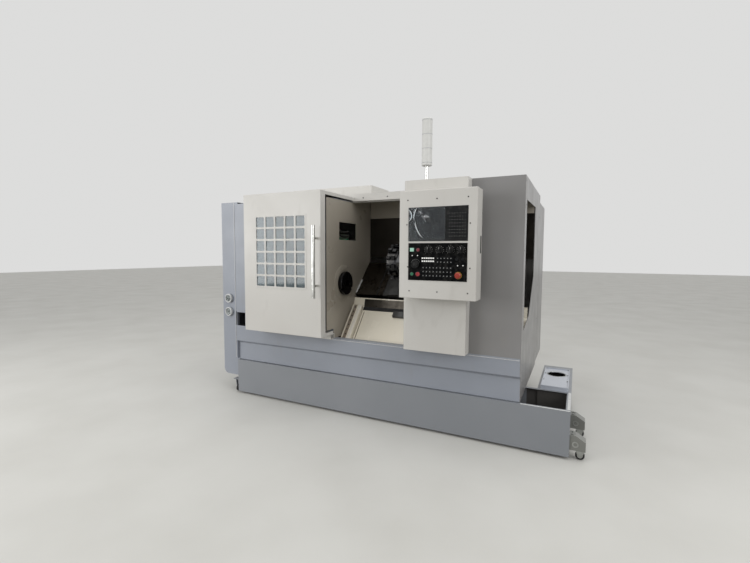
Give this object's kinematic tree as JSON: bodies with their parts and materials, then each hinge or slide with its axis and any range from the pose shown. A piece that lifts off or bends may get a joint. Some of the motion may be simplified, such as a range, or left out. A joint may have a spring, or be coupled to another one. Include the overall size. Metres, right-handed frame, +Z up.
{
  "type": "cnc turning lathe",
  "caption": "Slant-bed CNC turning lathe with a sliding window door, a swinging control console, a tool turret, a tailstock and a coolant tank on castors.",
  "frame": {"origin": "centre of the bounding box, on the floor", "axes": "+Z up, the operator stands at -Y, the spindle points along +X"},
  "size_m": [3.135, 1.9526, 2.335],
  "materials": {
    "cream_paint": "satin",
    "grey_paint": "semi-gloss",
    "pale_grey_paint": "semi-gloss",
    "stainless_sheet": "satin",
    "dark_guard": "oiled",
    "cast_iron": "machined and oiled",
    "ground_steel": "ground",
    "black_oxide": "blackened, glossy",
    "black_rubber": "matt",
    "window_glass": "clear",
    "black_plastic": "satin",
    "white_plastic": "satin",
    "red_plastic": "satin",
    "green_plastic": "satin"
  },
  "bodies": {
    "machine": {"bed_casting": "cast_iron", "headstock": "cast_iron", "spindle_motor": "grey_paint", "drive_belt": "black_rubber", "lower_front_panel": "pale_grey_paint", "left_front_panel": "pale_grey_paint", "right_front_panel": "grey_paint", "left_end_cover": "pale_grey_paint", "right_side_panel": "grey_paint", "roof_panel": "cream_paint", "header": "cream_paint", "front_column": "cream_paint", "left_inner_wall": "cream_paint", "rear_guard": "dark_guard", "way_cover_outer": "stainless_sheet", "chip_chute": "stainless_sheet", "door_bottom_rail": "cream_paint", "signal_pole": "stainless_sheet", "signal_lamp": "white_plastic", "gauge_upper": "stainless_sheet", "gauge_lower": "stainless_sheet", "cabinet_shell": "grey_paint", "cabinet_backplate": "stainless_sheet"},
    "cabinet_door": {"cabinet_door": "grey_paint"},
    "main_switch": {"main_switch": "red_plastic"},
    "tank": {"coolant_tank": "pale_grey_paint", "pump_plate": "pale_grey_paint"},
    "castor_fork_1": {"castor_fork_1": "pale_grey_paint"},
    "castor_fork_2": {"castor_fork_2": "pale_grey_paint"},
    "castor_wheel_1": {"castor_wheel_1": "black_rubber"},
    "castor_wheel_2": {"castor_wheel_2": "black_rubber"},
    "castor_wheel_3": {"castor_wheel_3": "black_rubber"},
    "castor_wheel_4": {"castor_wheel_4": "black_rubber"},
    "door": {"door_panel": "cream_paint", "window_grille": "cream_paint", "window_glass": "window_glass", "door_handle": "stainless_sheet"},
    "console": {"console_box": "cream_paint", "display_unit": "black_plastic", "operator_panel": "black_plastic"},
    "estop_button": {"estop_button": "red_plastic"},
    "start_button": {"start_button": "green_plastic"},
    "stop_button": {"stop_button": "red_plastic"},
    "power_on_button": {"power_on_button": "green_plastic"},
    "power_off_button": {"power_off_button": "red_plastic"},
    "knob_1": {"knob_1": "black_plastic"},
    "knob_2": {"knob_2": "black_plastic"},
    "knob_3": {"knob_3": "black_plastic"},
    "knob_4": {"knob_4": "black_plastic"},
    "handwheel": {"handwheel": "black_plastic"},
    "spindle": {"spindle_shaft": "ground_steel", "face_plate": "black_oxide"},
    "motor_pulley": {"motor_pulley": "ground_steel"},
    "saddle": {"saddle": "cast_iron"},
    "middle_cover": {"way_cover_middle": "stainless_sheet"},
    "cross_slide": {"cross_slide": "cast_iron", "turret_housing": "grey_paint"},
    "turret": {"turret_disc": "ground_steel"},
    "tailstock": {"tailstock_body": "cast_iron"},
    "quill": {"tailstock_quill": "ground_steel"}
  },
  "joints": [
    {"name": "door_slide", "type": "slide", "parent": "machine", "child": "door", "axis": [1, 0, 0], "range_m": [0, 0.64]},
    {"name": "console_hinge", "type": "hinge", "parent": "machine", "child": "console", "pos_m": [0.3675, -0.8073, 1.023], "axis": [0, 0, 1], "range_deg": [-90, 0]},
    {"name": "spindle_turn", "type": "hinge", "parent": "machine", "child": "spindle", "pos_m": [-0.2995, -0.5333, 1.07], "axis": [1, 0, 0], "continuous": true},
    {"name": "motor_turn", "type": "hinge", "parent": "machine", "child": "motor_pulley", "pos_m": [-1.0425, -0.4983, 0.6], "axis": [1, 0, 0], "continuous": true},
    {"name": "z_slide", "type": "slide", "parent": "machine", "child": "saddle", "axis": [1, 0, 0], "range_m": [-0.1, 0.28]},
    {"name": "middle_cover_slide", "type": "slide", "parent": "machine", "child": "middle_cover", "axis": [1, 0, 0], "range_m": [-0.05, 0.14]},
    {"name": "x_slide", "type": "slide", "parent": "saddle", "child": "cross_slide", "axis": [0, 0.7071, 0.7071], "range_m": [-0.1, 0.05]},
    {"name": "turret_index", "type": "hinge", "parent": "cross_slide", "child": "turret", "pos_m": [0.0675, -0.34945, 1.25385], "axis": [1, 0, 0], "continuous": true},
    {"name": "tailstock_slide", "type": "slide", "parent": "machine", "child": "tailstock", "axis": [1, 0, 0], "range_m": [-0.2, 0.12]},
    {"name": "quill_slide", "type": "slide", "parent": "tailstock", "child": "quill", "axis": [-1, 0, 0], "range_m": [0, 0.1]},
    {"name": "tank_pull", "type": "slide", "parent": "machine", "child": "tank", "axis": [0, -1, 0], "range_m": [0, 0.45]},
    {"name": "castor_swivel_1", "type": "hinge", "parent": "tank", "child": "castor_fork_1", "pos_m": [1.5225, -0.6483, 0.068], "axis": [0, 0, 1], "continuous": true},
    {"name": "castor_spin_1", "type": "hinge", "parent": "castor_fork_1", "child": "castor_wheel_1", "pos_m": [1.5365, -0.6483, 0.0286], "axis": [0, 1, 0], "continuous": true},
    {"name": "castor_swivel_2", "type": "hinge", "parent": "tank", "child": "castor_fork_2", "pos_m": [1.5225, -0.2783, 0.068], "axis": [0, 0, 1], "continuous": true},
    {"name": "castor_spin_2", "type": "hinge", "parent": "castor_fork_2", "child": "castor_wheel_2", "pos_m": [1.5365, -0.2783, 0.0286], "axis": [0, 1, 0], "continuous": true},
    {"name": "castor_spin_3", "type": "hinge", "parent": "tank", "child": "castor_wheel_3", "pos_m": [-1.4045, -0.6483, 0.0286], "axis": [1, 0, 0], "continuous": true},
    {"name": "castor_spin_4", "type": "hinge", "parent": "tank", "child": "castor_wheel_4", "pos_m": [-1.4045, -0.4083, 0.0286], "axis": [1, 0, 0], "continuous": true},
    {"name": "cabinet_door_hinge", "type": "hinge", "parent": "machine", "child": "cabinet_door", "pos_m": [1.1622, 0.946, 0.35], "axis": [0, 0, -1], "range_deg": [0, 110]},
    {"name": "main_switch_turn", "type": "hinge", "parent": "cabinet_door", "child": "main_switch", "pos_m": [0.3275, 0.946, 1.45], "axis": [0, 1, 0], "range_deg": [0, 90]},
    {"name": "estop_press", "type": "slide", "parent": "console", "child": "estop_button", "axis": [0, 1, 0], "range_m": [0, 0.004], "stiffness_N_per_m": 1500},
    {"name": "start_press", "type": "slide", "parent": "console", "child": "start_button", "axis": [0, 1, 0], "range_m": [0, 0.004], "stiffness_N_per_m": 800},
    {"name": "stop_press", "type": "slide", "parent": "console", "child": "stop_button", "axis": [0, 1, 0], "range_m": [0, 0.004], "stiffness_N_per_m": 800},
    {"name": "power_on_press", "type": "slide", "parent": "console", "child": "power_on_button", "axis": [0, 1, 0], "range_m": [0, 0.004], "stiffness_N_per_m": 800},
    {"name": "power_off_press", "type": "slide", "parent": "console", "child": "power_off_button", "axis": [0, 1, 0], "range_m": [0, 0.004], "stiffness_N_per_m": 800},
    {"name": "knob_1_turn", "type": "hinge", "parent": "console", "child": "knob_1", "pos_m": [0.5915, -0.9513, 1.35], "axis": [0, -1, 0], "range_deg": [-120, 120]},
    {"name": "knob_2_turn", "type": "hinge", "parent": "console", "child": "knob_2", "pos_m": [0.6695, -0.9513, 1.35], "axis": [0, -1, 0], "range_deg": [-120, 120]},
    {"name": "knob_3_turn", "type": "hinge", "parent": "console", "child": "knob_3", "pos_m": [0.7415, -0.9513, 1.35], "axis": [0, -1, 0], "range_deg": [-120, 120]},
    {"name": "knob_4_turn", "type": "hinge", "parent": "console", "child": "knob_4", "pos_m": [0.8115, -0.9513, 1.35], "axis": [0, -1, 0], "range_deg": [-120, 120]},
    {"name": "handwheel_turn", "type": "hinge", "parent": "console", "child": "handwheel", "pos_m": [0.5025, -0.9513, 1.255], "axis": [0, -1, 0], "continuous": true}
  ],
  "couplings": [
    {"joint": "motor_turn", "follows": "spindle_turn", "ratio": 1.5},
    {"joint": "middle_cover_slide", "follows": "z_slide", "ratio": 0.5}
  ]
}
